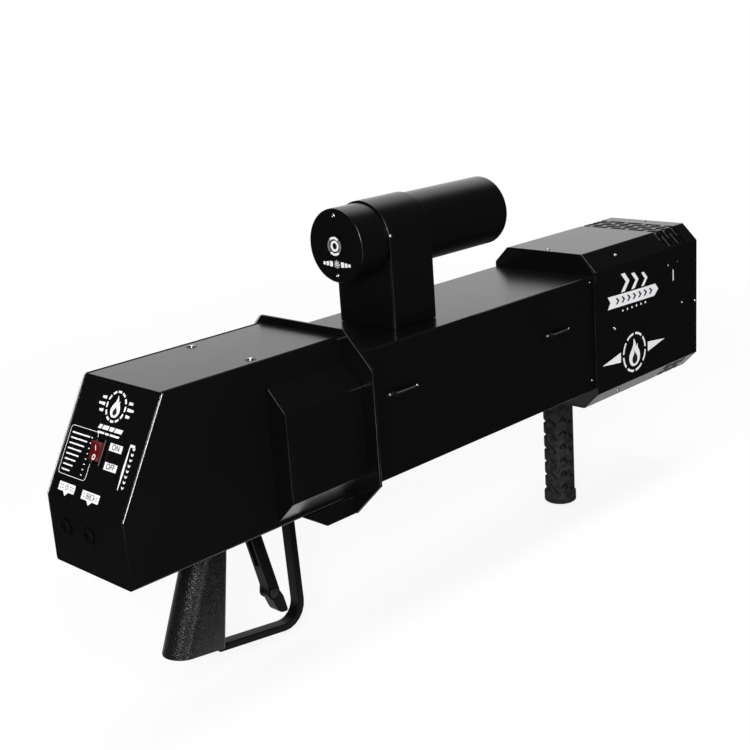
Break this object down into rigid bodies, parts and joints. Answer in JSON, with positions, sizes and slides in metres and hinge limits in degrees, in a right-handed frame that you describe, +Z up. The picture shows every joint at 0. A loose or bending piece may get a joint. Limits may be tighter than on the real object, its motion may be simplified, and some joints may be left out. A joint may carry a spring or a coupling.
{
  "type": "stage flame machine",
  "caption": "Hand-held stage flame machine: a black sheet-metal gun with a pistol grip and trigger, a front handle, a vented nozzle housing and a lamp tube on top.",
  "frame": {"origin": "centre of the flat underside of the square middle body, where it lies in a cradle or on a stand", "axes": "+X forward to the muzzle, +Y to the left of someone holding it, +Z up towards the lamp"},
  "size_m": [0.7852, 0.17, 0.3832],
  "materials": {
    "black_powder_coat": "satin black powder coat with a fine grain",
    "black_plastic": "smooth moulded plastic, low sheen",
    "grained_plastic": "moulded plastic with a fine leather grain",
    "black_rubber": "matte moulded rubber with a tread",
    "red_plastic": "glossy moulded rocker",
    "zinc_plated_steel": "bright zinc plate",
    "aluminium": "drawn or turned aluminium",
    "mirror_reflector": "vacuum metallised mirror",
    "brass": "turned brass",
    "lamp_glass": "clear domed glass",
    "circuit_board": "green solder mask",
    "battery_wrap": "blue shrink wrap",
    "white_ceramic": "glazed ceramic with a steel electrode"
  },
  "bodies": {
    "gun": {"rear_shell": "black_powder_coat", "control_panel": "black_powder_coat", "collar_plate": "black_powder_coat", "left_pod": "black_powder_coat", "right_pod": "black_powder_coat", "belly_cover": "black_powder_coat", "middle_body": "black_powder_coat", "rear_end_frame": "zinc_plated_steel", "front_end_frame": "zinc_plated_steel", "nozzle_cowl": "black_powder_coat", "cowl_back_plate": "black_powder_coat", "nozzle_plate": "zinc_plated_steel", "muzzle_frame": "black_powder_coat", "lamp_bracket": "black_powder_coat", "bracket_rear_wall": "black_powder_coat", "bracket_front_wall": "black_powder_coat", "lamp_tube": "black_powder_coat", "lamp_rear_cap": "black_powder_coat", "button_bezel": "black_plastic", "lamp_bezel": "black_powder_coat", "lamp_lens": "lamp_glass", "lamp_reflector": "mirror_reflector", "led_board": "circuit_board", "lamp_heatsink": "aluminium", "grip_left": "grained_plastic", "grip_right": "grained_plastic", "trigger_guard": "black_plastic", "trigger_pin": "zinc_plated_steel", "trigger_spring": "zinc_plated_steel", "trigger_switch": "black_plastic", "trigger_bracket": "zinc_plated_steel", "handle_core": "zinc_plated_steel", "handle_sleeve": "black_rubber", "rocker_bezel": "black_plastic", "power_socket": "black_plastic", "charge_socket": "black_plastic", "front_strap_loop": "black_powder_coat", "rear_strap_loop": "black_powder_coat", "battery_tray": "zinc_plated_steel", "battery_pack": "battery_wrap", "battery_strap": "zinc_plated_steel", "control_board": "circuit_board", "gas_can": "aluminium", "rear_can_cradle": "black_plastic", "front_can_cradle": "black_plastic", "can_stop": "zinc_plated_steel", "can_valve": "brass", "gas_pipe": "brass", "solenoid_valve": "brass", "valve_stand": "zinc_plated_steel", "flame_nozzle": "brass", "left_electrode": "white_ceramic", "right_electrode": "white_ceramic", "ignition_coil": "black_plastic"},
    "trigger": {"trigger": "black_plastic", "latch_pin": "zinc_plated_steel"},
    "latch": {"trigger_latch": "black_plastic"},
    "rocker": {"power_rocker": "red_plastic"},
    "button": {"mode_button": "black_plastic"}
  },
  "joints": [
    {"name": "trigger_pull", "type": "hinge", "parent": "gun", "child": "trigger", "pos_m": [-0.2638, 0, 0.01], "axis": [0, 1, 0], "range_deg": [0, 10], "stiffness_Nm_per_rad": 0.15, "springref_deg": -20.05},
    {"name": "latch_swing", "type": "hinge", "parent": "trigger", "child": "latch", "pos_m": [-0.2401, 0, -0.0877], "axis": [0, 1, 0], "range_deg": [0, 50]},
    {"name": "power_rocker_tilt", "type": "hinge", "parent": "gun", "child": "rocker", "pos_m": [-0.39321, 0.0025, 0.09014], "axis": [0, 1, 0], "range_deg": [0, 16]},
    {"name": "mode_button_press", "type": "slide", "parent": "gun", "child": "button", "axis": [1, 0, 0], "range_m": [0, 0.002], "stiffness_N_per_m": 300, "springref_m": -0.001}
  ]
}
